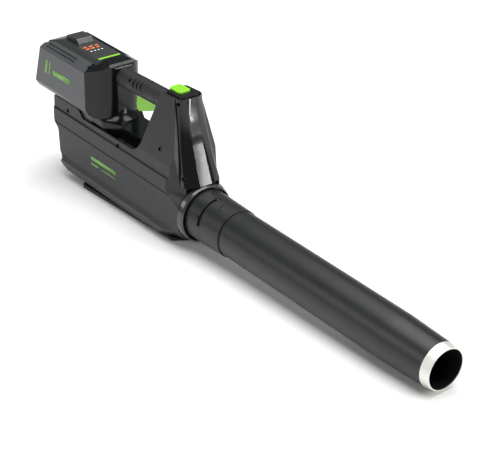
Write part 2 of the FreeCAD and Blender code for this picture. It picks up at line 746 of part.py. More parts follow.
def make_air_path():
    keep(turned("outlet_ring", (
        ("-outlet_length", "outlet_radius - 3.4"),
        ("-outlet_length", "outlet_radius + 2"),
        ("-4", "outlet_radius + 1", "3"),
        ("0", "outlet_radius - 1", "1"),
        ("0", "outlet_radius - 2.6"),
        ("-3", "outlet_radius - 3.4"),
    )), "outlet_ring")
    spigot_blank = turned("spigot_blank", (
        ("-outlet_length - 3", "spigot_radius - 2.4"),
        ("-outlet_length - 3", "outlet_radius - 3.6"),
        ("-outlet_length + 1", "outlet_radius - 3.6"),
        ("-outlet_length + 1", "spigot_radius", "2"),
        ("spigot_end", "spigot_radius"),
        ("spigot_end", "spigot_radius - 2.4"),
    ))
    lugs = []
    for i in range(LUGS):
        angle = LUG_ANGLE + 360 / LUGS * i
        lug = rod(f"lug_{i}", ("slot_at", f"-(spigot_radius - 1) * sin({angle})",
                               f"(spigot_radius - 1) * cos({angle})"),
                  "lug_width / 2", "4.6", (0, 0, 1))
        lug.Placement = Placement(Vector(), Rotation(Vector(1, 0, 0), angle))
        lugs.append(lug)
    keep(join("MultiFuse", "outlet_spigot", spigot_blank, *lugs), "outlet_spigot")

    inside = "spigot_radius + seat_gap"
    collar = turned("collar_blank", (
        ("collar_start", inside),
        ("collar_start", "collar_radius - 1.2"),
        ("collar_start + 2", "collar_radius"),
        ("collar_end - 30", "collar_front_radius + 0.8", "60"),
        ("collar_end - 1", "collar_front_radius"),
        ("collar_end", "collar_front_radius - 1"),
        ("collar_end", inside),
    ))
    slot_sketch = sketch_on(collar, "XZ")
    outline(slot_sketch, (
        ("slot_at - slot_width / 2", "spigot_radius"),
        ("slot_at + slot_width / 2", "spigot_radius"),
        ("slot_at + slot_width / 2", "collar_radius + 4"),
        ("slot_at - slot_width / 2", "collar_radius + 4"),
    ))
    slot = turn(collar, slot_sketch, "Groove")
    link(slot, "Angle", "slot_sweep")
    around(collar, slot, LUGS)
    tab = doc.addObject("Part::Box", "collar_tab")
    for prop, size in (("Length", 14), ("Width", 5), ("Height", 3.4)):
        link(tab, prop, str(size))
    tab.Placement = Placement(Vector(), Rotation(Vector(1, 0, 0), TAB_ANGLE))
    link(tab, "Placement.Base.x", "slot_at - 18.5")
    link(tab, "Placement.Base.y", f"-2.5 * cos({TAB_ANGLE}) - (collar_radius - 2) * sin({TAB_ANGLE})")
    link(tab, "Placement.Base.z", f"(collar_radius - 2) * cos({TAB_ANGLE}) - 2.5 * sin({TAB_ANGLE})")
    keep(join("MultiFuse", "collar_with_tab", collar, tab), "tube_collar")

    keep(turned("blow_tube", (
        ("collar_end - 12", inside + " - tube_wall"),
        ("collar_end - 12", inside + " - pin_fit"),
        ("collar_end + 2.5", inside + " - pin_fit"),
        ("collar_end + 3.5", "tube_rear_radius"),
        ("taper_start", "tube_radius", "300"),
        ("nozzle_end - ring_length", "ring_rear_radius"),
        ("nozzle_end - ring_length", "ring_rear_radius - 1.2"),
        ("nozzle_end - 1.5", "ring_front_radius - 0.9"),
        ("nozzle_end - 1.5", "nozzle_bore"),
        ("nozzle_end - ring_length - 2", "nozzle_bore"),
        ("taper_start", "tube_radius - tube_wall", "300"),
    )), "blow_tube")
    keep(turned("nozzle_ring", (
        ("nozzle_end - ring_length + 0.2", "ring_rear_radius - 1.1"),
        ("nozzle_end - ring_length + 0.2", "ring_rear_radius"),
        ("nozzle_end", "ring_front_radius", "0.6"),
        ("nozzle_end", "nozzle_bore"),
        ("nozzle_end - 1.5", "nozzle_bore"),
        ("nozzle_end - 1.5", "ring_front_radius - 0.8"),
    )), "nozzle_ring")


# ---------------------------------------------------------------- fan and motor

def make_fan():
    fan = turned("fan_impeller", (
        ("fan_at - fan_depth / 2", "shaft_radius + pin_fit"),
        ("fan_at - fan_depth / 2", "fan_hub - 2", "2"),
        ("fan_at - fan_depth / 2 + 3", "fan_hub"),
        ("fan_at + fan_depth / 2", "fan_hub"),
        ("fan_at + fan_depth / 2", "fan_hub - 2.5"),
        ("fan_at - fan_depth / 2 + 4", "fan_hub - 2.5"),
        ("fan_at - fan_depth / 2 + 4", "shaft_radius + 4"),
        ("fan_at + fan_depth / 2 - 4", "shaft_radius + 4"),
        ("fan_at + fan_depth / 2 - 4", "shaft_radius + pin_fit"),
    ))
    sections = []
    tip_across = blade_across(62, 23)
    tip = f"sqrt((duct_bore - fan_tip_gap) ^ 2 - {tip_across} ^ 2)"
    for height, angle, chord in (("fan_hub - 1", 38, 19), ("(fan_hub + duct_bore) / 2", 52, 21), (tip, 62, 23)):
        sketch = sketch_on(fan, "XY", height)
        outline(sketch, blade_section(angle, chord))
        sections.append(sketch)
    loft = fan.newObject("PartDesign::AdditiveLoft", "fan_blade")
    loft.Profile = sections[0]
    loft.Sections = sections[1:]
    around(fan, loft, BLADES)
    keep(fan, "fan_impeller")
    keep(turned("fan_nose", (
        ("fan_at - fan_depth / 2 - 16", "0"),
        ("fan_at - fan_depth / 2 - 16", "7", "5"),
        ("fan_at - fan_depth / 2 - 6", "fan_hub - 5", "12"),
        ("fan_at - fan_depth / 2", "fan_hub - 2.4"),
        ("fan_at - fan_depth / 2", "0"),
    )), "fan_nose")


BLADE_HALF = 0.8


def blade_across(angle, chord):
    """How far a blade's section reaches to each side of its middle."""
    return math.sin(math.radians(angle)) * chord / 2 + math.cos(math.radians(angle)) * BLADE_HALF


def blade_section(angle, chord):
    """A thin blade's section, its chord set at angle degrees from the axis."""
    along = math.cos(math.radians(angle)) * chord / 2
    across = math.sin(math.radians(angle)) * chord / 2
    thick = BLADE_HALF
    side_x = math.sin(math.radians(angle)) * thick
    side_y = math.cos(math.radians(angle)) * thick
    return (
        (f"fan_at + {-along - side_x}", f"{-across + side_y}"),
        (f"fan_at + {-along + side_x}", f"{-across - side_y}"),
        (f"fan_at + {along + side_x}", f"{across - side_y}"),
        (f"fan_at + {along - side_x}", f"{across + side_y}"),
    )


def make_motor():
    front = "fan_at + fan_depth / 2"
    keep(turned("fan_duct", (
        ("duct_rear", "duct_bore + 5"),
        ("duct_rear + 8", "duct_bore", "7"),
        ("-60", "duct_bore", "60"),
        ("-outlet_length - 4", "spigot_radius - 2.4"),
        ("-outlet_length - 4", "spigot_radius + 1"),
        ("-60", "duct_bore + duct_wall", "60"),
        ("duct_rear + 10", "duct_bore + duct_wall"),
        ("duct_rear + 2", "duct_bore + 5"),
    )), "fan_duct")
    vanes = turned("stator_vanes", (
        (f"{front} + 3", "shaft_radius * 2 + 2"),
        (f"{front} + 3", "motor_radius + 3"),
        (f"{front} + 8 + motor_length", "motor_radius + 3"),
        (f"{front} + 8 + motor_length", "motor_radius + 0.1"),
        (f"{front} + 6", "motor_radius + 0.1"),
        (f"{front} + 6", "shaft_radius * 2 + 2"),
    ))
    root = sketch_on(vanes, "XY", "motor_radius + 2.6")
    outline(root, (
        (f"{front} + 12", "-1.1"),
        (f"{front} + 44", "-1.1"),
        (f"{front} + 44", "1.1"),
        (f"{front} + 12", "1.1"),
    ))
    around(vanes, pad(vanes, root, "duct_bore - motor_radius - 2.9", "Pad", False), VANES)
    keep(vanes, "stator_vanes")
    can = "motor_radius"
    start = f"{front} + 6.2"
    keep(turned("motor_can", (
        (start, "shaft_radius * 2 + 2"),
        (start, can),
        (f"{start} + motor_length", can),
        (f"{start} + motor_length", "shaft_radius * 2 + 2"),
        (f"{start} + motor_length - 2", "shaft_radius * 2 + 2"),
        (f"{start} + motor_length - 2", f"{can} - 1.4"),
        (f"{start} + 2", f"{can} - 1.4"),
        (f"{start} + 2", "shaft_radius * 2 + 2"),
    )), "motor_can")
    keep(turned("motor_stator", (
        (f"{start} + 9", "12.6"),
        (f"{start} + 9", f"{can} - 1.5"),
        (f"{start} + motor_length - 9", f"{can} - 1.5"),
        (f"{start} + motor_length - 9", "12.6"),
    )), "motor_stator")
    keep(turned("motor_rotor", (
        (f"{start} + 10", "shaft_radius"),
        (f"{start} + 10", "12"),
        (f"{start} + motor_length - 10", "12"),
        (f"{start} + motor_length - 10", "shaft_radius"),
    )), "motor_rotor")
    keep(turned("motor_shaft", (
        ("fan_at - fan_depth / 2 + 0.3", "0"),
        ("fan_at - fan_depth / 2 + 0.3", "shaft_radius"),
        (f"{start} + motor_length - 0.5", "shaft_radius"),
        (f"{start} + motor_length - 0.5", "0"),
    )), "motor_shaft")
    bearings = []
    for i, at in enumerate((f"{start}", f"{start} + motor_length - 6")):
        bearings.append(turned(f"bearing_{i}", (
            (at, "shaft_radius + pin_fit"),
            (at, "shaft_radius * 2 + 1.95"),
            (f"{at} + 5.5", "shaft_radius * 2 + 1.95"),
            (f"{at} + 5.5", "shaft_radius + pin_fit"),
        )))
    keep(bearings[0], "front_bearing")
    keep(bearings[1], "rear_bearing")
    keep(turned("tail_cone", (
        (f"{start} + motor_length + 2.2", "0"),
        (f"{start} + motor_length + 2.2", "motor_radius + 3"),
        (f"{start} + motor_length + 30", "motor_radius - 6", "40"),
        (f"{start} + motor_length + 58", "2"),
        (f"{start} + motor_length + 58", "0"),
    )), "tail_cone")


# ---------------------------------------------------------------- handle, trigger, top button

def make_handle():
    core = handle_form("handle_core_bar", "handle_radius - grip_thick", "handle_rear", "handle_front")
    grip = handle_form("grip_outer", "handle_radius", "cradle_front + seat_gap + 1", "pylon_rear - 11")
    inner = handle_form("grip_inner", "handle_radius - grip_thick + seat_gap", "handle_rear - 2",
                        "handle_front + 2")
    slot = block("trigger_slot", ("handle_front - 116", "-trigger_width / 2 - seat_gap", "handle_rear_height - 40"),
                 ("handle_front - 36", "trigger_width / 2 + seat_gap", "handle_front_height + 4"))
    pin_hole = rod("trigger_pin_hole", ("handle_front - 49", "12.5", "handle_front_height - 11.5"),
                   "2 + pin_fit", "25", (0, -1, 0))
    screw_well = rod("handle_screw_well", ("handle_rear + 52", "-9", "handle_rear_height + 11"),
                     "screw_well - 0.7", "30", (0, -1, 0))
    keep(join("Cut", "handle_core", core, join("MultiFuse", "core_slots", slot, screw_well, pin_hole)),
         "handle_core")
    keep(join("Cut", "handle_grip", grip, join("MultiFuse", "grip_slots", inner, slot, screw_well, pin_hole)),
         "handle_grip")
    keep(prism("trigger", "XZ", (
        ("handle_front - 102", "handle_front_height - 13", "3"),
        ("handle_front - 109", "handle_front_height - 38", "9"),
        ("handle_front - 104", "handle_front_height - 52", "6"),
        ("handle_front - 58", "handle_front_height - 35", "12"),
        ("handle_front - 43", "handle_front_height - 22", "4"),
        ("handle_front - 43", "handle_front_height - 5.5", "5"),
        ("handle_front - 54", "handle_front_height - 5.5", "3"),
        ("handle_front - 57", "handle_front_height - 11"),
        ("handle_front - 90", "handle_front_height - 11", "4"),
    ), "trigger_width - seat_gap"), "trigger")
    bore = sketch_on(doc.getObject("trigger"), "XZ")
    disc(bore, "handle_front - 49", "handle_front_height - 11.5", "2 + pin_fit")
    pad(doc.getObject("trigger"), bore, "60", "Pocket")
    keep(rod("trigger_pin", ("handle_front - 49", "12", "handle_front_height - 11.5"), "2", "24",
             (0, -1, 0)), "trigger_pin")
    keep(block("trigger_switch", ("handle_front - 78", "-6.5", "handle_front_height - 5"),
               ("handle_front - 58", "6.5", "handle_front_height + 3.7")), "trigger_switch")
    keep(coil("trigger_spring", ("handle_front - 86", "0", "handle_front_height - 10.2"), TRIGGER_TURNS),
         "trigger_spring")


def coil(name, centre, turns):
    """A compression spring that stands on centre, one swept turn of wire on top of another."""
    rounds = []
    for i in range(turns):
        helix = doc.addObject("Part::Helix", f"{name}_helix_{i}")
        link(helix, "Pitch", "spring_lead")
        link(helix, "Height", "spring_lead")
        link(helix, "Radius", "spring_radius")
        section = doc.addObject("Part::Circle", f"{name}_wire_{i}")
        link(section, "Radius", "wire_radius")
        section.Placement = Placement(Vector(), Rotation(Vector(1, 0, 0), 90))
        link(section, "Placement.Base.x", "spring_radius")
        sweep = doc.addObject("Part::Sweep", f"{name}_turn_{i}")
        sweep.Sections = [section]
        sweep.Spine = (helix, ["Edge1"])
        sweep.Solid = True
        sweep.Frenet = True
        link(sweep, "Placement.Base.x", centre[0])
        link(sweep, "Placement.Base.y", centre[1])
        link(sweep, "Placement.Base.z", f"{centre[2]} + {i} * spring_lead")
        rounds.append(sweep)
    return join("Compound", name, *rounds)


def make_button():
    plate = prism("button_plate", "XY", (
        ("pylon_rear + 6.3", "-22", "6"),
        ("crease_top + 11", "-22", "9"),
        ("crease_top + 11", "22", "9"),
        ("pylon_rear + 6.3", "22", "6"),
    ), "plate_height", "pylon_top - 2.7", False)
    hole = sketch_on(plate, "XY", "pylon_top + 10")
    outline(hole, button_outline("seat_gap"))
    pad(plate, hole, "40", "Pocket", True)
    keep(plate, "button_plate")
    cap = prism("boost_button", "XY", button_outline("0"), "button_height", "pylon_top - 2", False)
    keep(cap, "boost_button")
    keep(coil("button_spring", (BUTTON_MIDDLE, "0", "pylon_top - 9.75"), BUTTON_TURNS), "button_spring")
    keep(block("button_board", (f"{BUTTON_MIDDLE} - 12", "-15", "pylon_top - 12.5"),
               (f"{BUTTON_MIDDLE} + 16", "15", "pylon_top - 10.3")), "button_board")


def button_outline(grow):
    """The button's rounded outline, grown all round."""
    half_x = f"(button_length / 2 + {grow})"
    half_y = f"(button_width / 2 + {grow})"
    return ((f"{BUTTON_MIDDLE} - {half_x}", f"-{half_y}", "6"), (f"{BUTTON_MIDDLE} + {half_x}", f"-{half_y}", "6"),
            (f"{BUTTON_MIDDLE} + {half_x}", half_y, "6"), (f"{BUTTON_MIDDLE} - {half_x}", half_y, "6"))


# ---------------------------------------------------------------- battery

def make_battery():
    solid = join("Common", "battery_solid", slab("battery_section", "YZ", mirrored(BATTERY_SECTION), "1200"),
                 slab("battery_side", "XZ", BATTERY_SIDE, "160"))
    inside = join("Common", "battery_inside",
                  slab("battery_inner_section", "YZ", mirrored(BATTERY_SECTION), "1200", "battery_wall"),
                  slab("battery_inner_side", "XZ", BATTERY_SIDE, "160", "battery_wall"))
    lid_zone = block("lid_zone", ("battery_rear - battery_lean", "-80", "battery_split"),
                     ("battery_front + 5", "80", "battery_high + 20"))
    lid_tool = block("tray_zone", ("battery_rear - battery_lean", "-80", "battery_split - 0.1"),
                     ("battery_front + 5", "80", "battery_high + 20"))
    shell = join("Cut", "battery_shell", solid, inside)
    socket = block("terminal_socket", ("battery_front - 14", "-20", "battery_low + 20"),
                   ("battery_front + 2", "20", "battery_low + 34"))
    keep(join("Cut", "battery_tray", shell, join("MultiFuse", "tray_cuts", lid_tool, socket)),
         "battery_tray")
    latch_well = block("latch_well", ("battery_rear + 32", "-17.3", "battery_split + 4"),
                       ("battery_rear + 76.3", "17.3", "battery_high + 20"))
    label_well = block("label_well", ("battery_rear + 84", "-24", "battery_high - 0.8"),
                       ("battery_front - 34", "24", "battery_high + 20"))
    stripe_well = block("stripe_well", ("battery_front - 18", "-24", "battery_high - 1"),
                        ("battery_front - 12", "24", "battery_high + 20"))
    lid = join("Common", "lid_blank", shell, lid_zone)
    keep(join("Cut", "battery_lid", lid, join("MultiFuse", "lid_cuts", latch_well, label_well, stripe_well)),
         "battery_lid")
    keep(block("battery_label", ("battery_rear + 84.2", "-23.8", "battery_high - 0.8"),
               ("battery_front - 34.2", "23.8", "battery_high")), "battery_label")
    keep(block("battery_stripe", ("battery_front - 17.8", "-23.8", "battery_high - 1"),
               ("battery_front - 12.2", "23.8", "battery_high + 0.4")), "battery_stripe")
    cells = []
    for row in range(CELL_ROWS):
        for column in range(CELL_COLUMNS):
            along = f"battery_rear + 20 + {column} * (cell_radius * 2 + 0.4)"
            height = f"battery_low + 2.8 + cell_radius + {row} * (cell_radius * 2 + 0.4)"
            cells.append(rod(f"cell_{row}_{column}", (along, "-cell_length / 2", height),
                             "cell_radius", "cell_length", (0, 1, 0)))
    keep(join("Compound", "battery_cells", *cells), "battery_cells")
    over_cells = "battery_low + 3.6 + 4 * cell_radius"
    keep(block("battery_board", ("battery_rear + 12", "-34", over_cells),
               ("battery_front - 24", "34", over_cells + " + 2")), "battery_board")
    terminals = block("terminal_blank", ("battery_front - 13.7", "-19.7", "battery_low + 20.3"),
               ("battery_front - 0.3", "19.7", "battery_low + 33.7"))
    blades = [block(f"blade_slot_{i}", ("battery_front - 12", f"{y} - 1.2", "battery_low + 18"),
                    ("battery_front + 4", f"{y} + 1.2", "battery_low + 32")) for i, y in enumerate((-12, 0, 12))]
    keep(join("Cut", "battery_terminal_block", terminals, join("MultiFuse", "blade_slots", *blades)),
         "battery_terminals")
    keep(prism("battery_latch", "XZ", (
        ("battery_rear + 32.3", "battery_split + 6"),
        ("battery_rear + 32.3", "battery_high + 7", "2"),
        ("battery_rear + 38", "battery_high + 10", "3"),
        ("battery_rear + 68", "battery_high + 10", "6"),
        ("battery_rear + 76", "battery_high + 2", "2"),
        ("battery_rear + 76", "battery_split + 6"),
    ), "34"), "battery_latch")


def make_dock():
    base = block("dock_base", ("battery_front + 1", "-29.7", "battery_low + 8.3"),
                 ("battery_front + 15.7", "29.7", "battery_low + 53.7"))
    blades = [block(f"dock_blade_{i}", ("battery_front - 10", f"{y} - 0.7", "battery_low + 21.5"),
                    ("battery_front + 2", f"{y} + 0.7", "battery_low + 31")) for i, y in enumerate((-12, 0, 12))]
    keep(join("MultiFuse", "battery_dock", base, *blades), "battery_dock")


# ---------------------------------------------------------------- base, grilles, electronics, screws

BASE_PLAN = (
    ("body_rear + 94", "-49", "8"),
    ("-66", "-41", "6"),
    ("-52", "-42", "8"),
    ("-27", "-6", "6"),
    ("-27", "6", "6"),
    ("-52", "42", "8"),
    ("-66", "41", "6"),
    ("body_rear + 94", "49", "8"),
)


def make_base():
    side = slab("base_side", "XZ", (
        ("body_rear + 92", "body_bottom - seat_gap"),
        ("body_rear + 97", GROUND.format("body_rear + 97")),
        ("-34", GROUND.format("-34")),
        ("-27", GROUND.format("-27") + " + 2"),
        ("-27", "belly_front - seat_gap"),
    ), "120")
    blank = join("Common", "base_blank", side, slab("base_plan", "XY", BASE_PLAN, "400"))
    recesses = []
    for i, (rear, front) in enumerate((("body_rear + 112", "base_mid - 15"), ("base_mid + 15", "-86"))):
        recesses.append(slab(f"base_recess_{i}", "XZ", (
            (front, "body_bottom - 20"),
            (front, GROUND.format(front) + " + 1.6"),
            (rear, GROUND.format(rear) + " + 1.6"),
            (rear, "body_bottom - 20"),
        ), "44"))
    keep(join("Cut", "base_skid", blank, join("MultiFuse", "base_recesses", *recesses)), "base_skid")


def make_grilles():
    """Slotted intake strips in the channels between the deck and the flanks' rims."""
    for side, sign in (("right", -1), ("left", 1)):
        inner = f"{sign} * (deck_half + 1)"
        outer = f"{sign} * (body_half - 7.3)"
        low, high = (outer, inner) if sign < 0 else (inner, outer)
        strip = block(f"grille_blank_{side}", ("cradle_front + 26", low, "flank_rim - 13"),
                      ("pylon_rear - 50", high, "flank_rim - 10.5"))
        slots = []
        for i in range(GRILLE_SLOTS):
            at = f"cradle_front + 31 + {i} * (pylon_rear - cradle_front - 84) / {GRILLE_SLOTS - 1}"
            slots.append(block(f"grille_slot_{side}_{i}", (at, f"{low} + 2.4", "flank_rim - 14"),
                               (f"{at} + 3", f"{high} - 2.4", "flank_rim - 9")))
        if sign < 0:
            slots.append(boss_clearance(1, "grille_boss_gap"))
            slots.append(flank_rod("grille_screw_gap", FLANK_SCREWS[1], "screw_head / 2 + seat_gap",
                                   "deck_half"))
        keep(join("Cut", f"intake_grille_{side}", strip, join("MultiFuse", f"grille_slots_{side}", *slots)),
             f"intake_grille_{side}")


def make_electronics():
    seam = "body_rear + tail_cover"
    keep(block("controller_board", (f"{seam} + 24.7", "-34", "-46"), (f"{seam} + 26.7", "34", "28")),
         "controller_board")
    plate = block("heatsink_plate", (f"{seam} + 27", "-30", "-40"), (f"{seam} + 31", "30", "34"))
    fins = [block(f"heatsink_fin_{i}", (f"{seam} + 30.5", f"{-29 + i * 7}", "-40"),
                  (f"{seam} + 52", f"{-29 + i * 7} + 2", "34")) for i in range(FINS)]
    hangers = [block("heatsink_bar", (f"{seam} + 27", "-44.5", "29"), (f"{seam} + 31", "44.5", "34"))]
    for low, high in (("-44.5", "-40.5"), ("40.5", "44.5")):
        hangers.append(block("heatsink_leg", (f"{seam} + 27", low, "30"),
                             (f"{seam} + 31", high, "55 - seat_gap")))
    keep(join("MultiFuse", "heatsink", plate, *fins, *hangers), "heatsink")


def screw(name, spot, depth, length, radius="screw_head"):
    """A pan-head screw sunk depth below the flank, lying along Y."""
    start, height, flank = spot
    head = rod(name + "_head", (start, f"-({flank}) + ({depth})", height), radius, "2.4", (0, -1, 0))
    shank = rod(name + "_shank", (start, f"-({flank}) + ({depth}) + ({length})", height), f"({radius}) / 2",
                f"({length}) + 0.1", (0, -1, 0))
    return join("MultiFuse", name, head, shank)


def make_screws():
    flank = [screw(f"flank_screw_{i}", spot, "7.3", "14") for i, spot in enumerate(FLANK_SCREWS)]
    keep(join("Compound", "flank_screws", *flank), "flank_screws")
    nose = [screw(f"fairing_screw_{i}", spot, "4.2", "6", "screw_head - 0.5")
            for i, spot in enumerate(FAIRING_SCREWS)]
    keep(join("Compound", "fairing_screws", *nose), "fairing_screws")


def settle():
    """Pitches every piece nose-down about the middle of the base, which comes to the origin."""
    pitch = Rotation(Vector(0, 1, 0), number("tube_pitch"))
    foot = Vector(number("base_mid"), 0, number(GROUND.format("base_mid")))
    stance = Placement(pitch.multVec(-foot), pitch)
    for piece in pieces:
        piece.Placement = stance.multiply(piece.Placement)


def write_steps():
    os.makedirs("parts", exist_ok=True)
    for piece in pieces:
        piece.Shape.exportStep(f"parts/{piece.Label}.step")


def check():
    """Stops the build if any object failed or any piece has no valid solid."""
    for thing in doc.Objects:
        if "Invalid" in thing.State or "Error" in thing.State:
            raise SystemExit(f"{thing.Label} failed: {thing.State}")
    for piece in pieces:
        if piece.Shape.isNull() or not piece.Shape.isValid() or not piece.Shape.Solids:
            raise SystemExit(f"{piece.Label} has no valid shape")


fill_sheet()
SHANKS = make_shells()
make_fairing()
make_core(SHANKS)
make_air_path()
make_fan()
make_motor()
make_handle()
make_button()
make_battery()
make_dock()
make_base()
make_grilles()
make_electronics()
make_screws()
doc.recompute()
check()
settle()
write_steps()
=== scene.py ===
import bpy
import bmesh
import json
import math
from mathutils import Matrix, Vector


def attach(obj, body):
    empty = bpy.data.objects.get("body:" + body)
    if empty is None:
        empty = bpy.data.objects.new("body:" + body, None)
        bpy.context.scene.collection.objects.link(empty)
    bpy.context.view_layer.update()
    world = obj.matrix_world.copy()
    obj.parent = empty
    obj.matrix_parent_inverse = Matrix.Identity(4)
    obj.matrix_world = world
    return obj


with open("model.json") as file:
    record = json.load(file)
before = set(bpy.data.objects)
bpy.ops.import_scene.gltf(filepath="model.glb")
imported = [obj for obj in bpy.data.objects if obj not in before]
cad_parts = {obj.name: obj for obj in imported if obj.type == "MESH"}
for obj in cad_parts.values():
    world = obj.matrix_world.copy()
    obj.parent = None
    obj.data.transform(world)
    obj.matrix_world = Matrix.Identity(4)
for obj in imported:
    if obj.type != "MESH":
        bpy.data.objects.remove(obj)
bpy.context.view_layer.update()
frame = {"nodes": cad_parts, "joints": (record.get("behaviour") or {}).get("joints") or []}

NODES = frame["nodes"]
MM = 0.001
RIGHT = -1
LEFT = 1

# ---------------------------------------------------------------- the tube's own frame
# X along the blow tube from the outlet face, Y to the left, Z up from the tube's axis.

SLOT_AT = 36.5
TWIST = next(j for j in frame["joints"] if j["name"] == "tube_twist")
FORWARD = -Vector(TWIST["axis"]).normalized()
ACROSS = Vector((0, 1, 0))
UPWARD = FORWARD.cross(ACROSS)
OUTLET = Vector(TWIST["pos_m"]) - FORWARD * SLOT_AT * MM


def spot(x, y, z):
    """A point given in millimetres in the tube's frame."""
    return OUTLET + (FORWARD * x + ACROSS * y + UPWARD * z) * MM


def around_tube(x, angle, radius):
    """A point round the tube's axis; angle 0 is the top and positive angles go to the right side."""
    a = math.radians(angle)
    return spot(x, -radius * math.sin(a), radius * math.cos(a))


def top_of(name):
    """Height of a node's highest point over the tube's axis, in millimetres."""
    return max((v.co - OUTLET).dot(UPWARD) for v in NODES[name].data.vertices) / MM


# ---------------------------------------------------------------- materials

CRADLE_CORNER = -309


def new_material(name):
    material = bpy.data.materials.new(name)
    material.use_nodes = True
    tree = material.node_tree
    shader = tree.nodes["Principled BSDF"]
    return material, tree, shader


def node(tree, kind, **settings):
    made = tree.nodes.new(kind)
    for key, value in settings.items():
        if key in made.inputs:
            made.inputs[key].default_value = value
        else:
            setattr(made, key, value)
    return made


def noise(tree, scale, detail=2.0, roughness=0.5):
    coords = node(tree, "ShaderNodeTexCoord")
    made = node(tree, "ShaderNodeTexNoise", Scale=scale, Detail=detail, Roughness=roughness)
    tree.links.new(coords.outputs["Object"], made.inputs["Vector"])
    return made.outputs["Fac"]


def ramp_range(tree, value, low, high, clamp_low=0.3, clamp_high=0.7):
    """Maps the middle of a noise's range to low..high."""
    made = node(tree, "ShaderNodeMapRange")
    made.inputs["From Min"].default_value = clamp_low
    made.inputs["From Max"].default_value = clamp_high
    made.inputs["To Min"].default_value = low
    made.inputs["To Max"].default_value = high
    tree.links.new(value, made.inputs["Value"])
    return made.outputs["Result"]


def tint(tree, factor, dark, light):
    mix = node(tree, "ShaderNodeMix", data_type="RGBA")
    mix.inputs[6].default_value = (*dark, 1)
    mix.inputs[7].default_value = (*light, 1)
    tree.links.new(factor, mix.inputs[0])
    return mix.outputs[2]


def shade(color, amount):
    return tuple(min(1.0, c * amount) for c in color)


def edge_softener(tree, radius):
    return node(tree, "ShaderNodeBevel", samples=4, Radius=radius).outputs["Normal"]


def bump(tree, height, strength, distance, normal=None):
    made = node(tree, "ShaderNodeBump", Strength=strength, Distance=distance)
    tree.links.new(height, made.inputs["Height"])
    if normal is not None:
        tree.links.new(normal, made.inputs["Normal"])
    return made.outputs["Normal"]


def moulded(name, color, rough, grain=1700, depth=0.00004, spread=0.10, vary=0.06, edge=0.0007,
            coat=0.0, specular=0.5):
    """Moulded plastic: a fine spark-eroded grain, soft edges and slow drifts of tone and gloss."""
    material, tree, shader = new_material(name)
    drift = noise(tree, 14, 3)
    tree.links.new(tint(tree, drift, shade(color, 1 - spread), shade(color, 1 + spread)),
                   shader.inputs["Base Color"])
    patches = noise(tree, 55, 4, 0.6)
    tree.links.new(ramp_range(tree, patches, rough - vary, rough + vary), shader.inputs["Roughness"])
    fine = noise(tree, grain, 1.5, 0.6)
    tree.links.new(bump(tree, fine, 0.35, depth, edge_softener(tree, edge)), shader.inputs["Normal"])
    shader.inputs["Specular IOR Level"].default_value = specular
    if coat:
        shader.inputs["Coat Weight"].default_value = coat
        shader.inputs["Coat Roughness"].default_value = 0.03
    return material


def metal(name, color, rough, stretch=(6, 900, 900)):
    """Turned or brushed metal: fine scratches stretched along one direction."""
    material, tree, shader = new_material(name)
    coords = node(tree, "ShaderNodeTexCoord")
    mapping = node(tree, "ShaderNodeMapping")
    mapping.inputs["Scale"].default_value = stretch
    scratches = node(tree, "ShaderNodeTexNoise", Scale=1.0, Detail=4.0)
    tree.links.new(coords.outputs["Object"], mapping.inputs["Vector"])
    tree.links.new(mapping.outputs["Vector"], scratches.inputs["Vector"])
    fac = scratches.outputs["Fac"]
    tree.links.new(tint(tree, fac, shade(color, 0.88), shade(color, 1.08)), shader.inputs["Base Color"])
    tree.links.new(ramp_range(tree, fac, rough - 0.06, rough + 0.08), shader.inputs["Roughness"])
    tree.links.new(bump(tree, fac, 0.2, 0.00003, edge_softener(tree, 0.0004)), shader.inputs["Normal"])
    shader.inputs["Metallic"].default_value = 1.0
    return material


def along(tree, direction):
    """Distance along a direction of the row frame, in metres."""
    coords = node(tree, "ShaderNodeTexCoord")
    dot = node(tree, "ShaderNodeVectorMath", operation="DOT_PRODUCT")
    dot.inputs[1].default_value = direction
    tree.links.new(coords.outputs["Object"], dot.inputs[0])
    return dot.outputs["Value"]


def step(tree, value, start, end):
    """0 before start, 1 after end."""
    made = node(tree, "ShaderNodeMapRange", interpolation_type="SMOOTHSTEP")
    made.inputs["From Min"].default_value = start
    made.inputs["From Max"].default_value = end
    tree.links.new(value, made.inputs["Value"])
    return made.outputs["Result"]


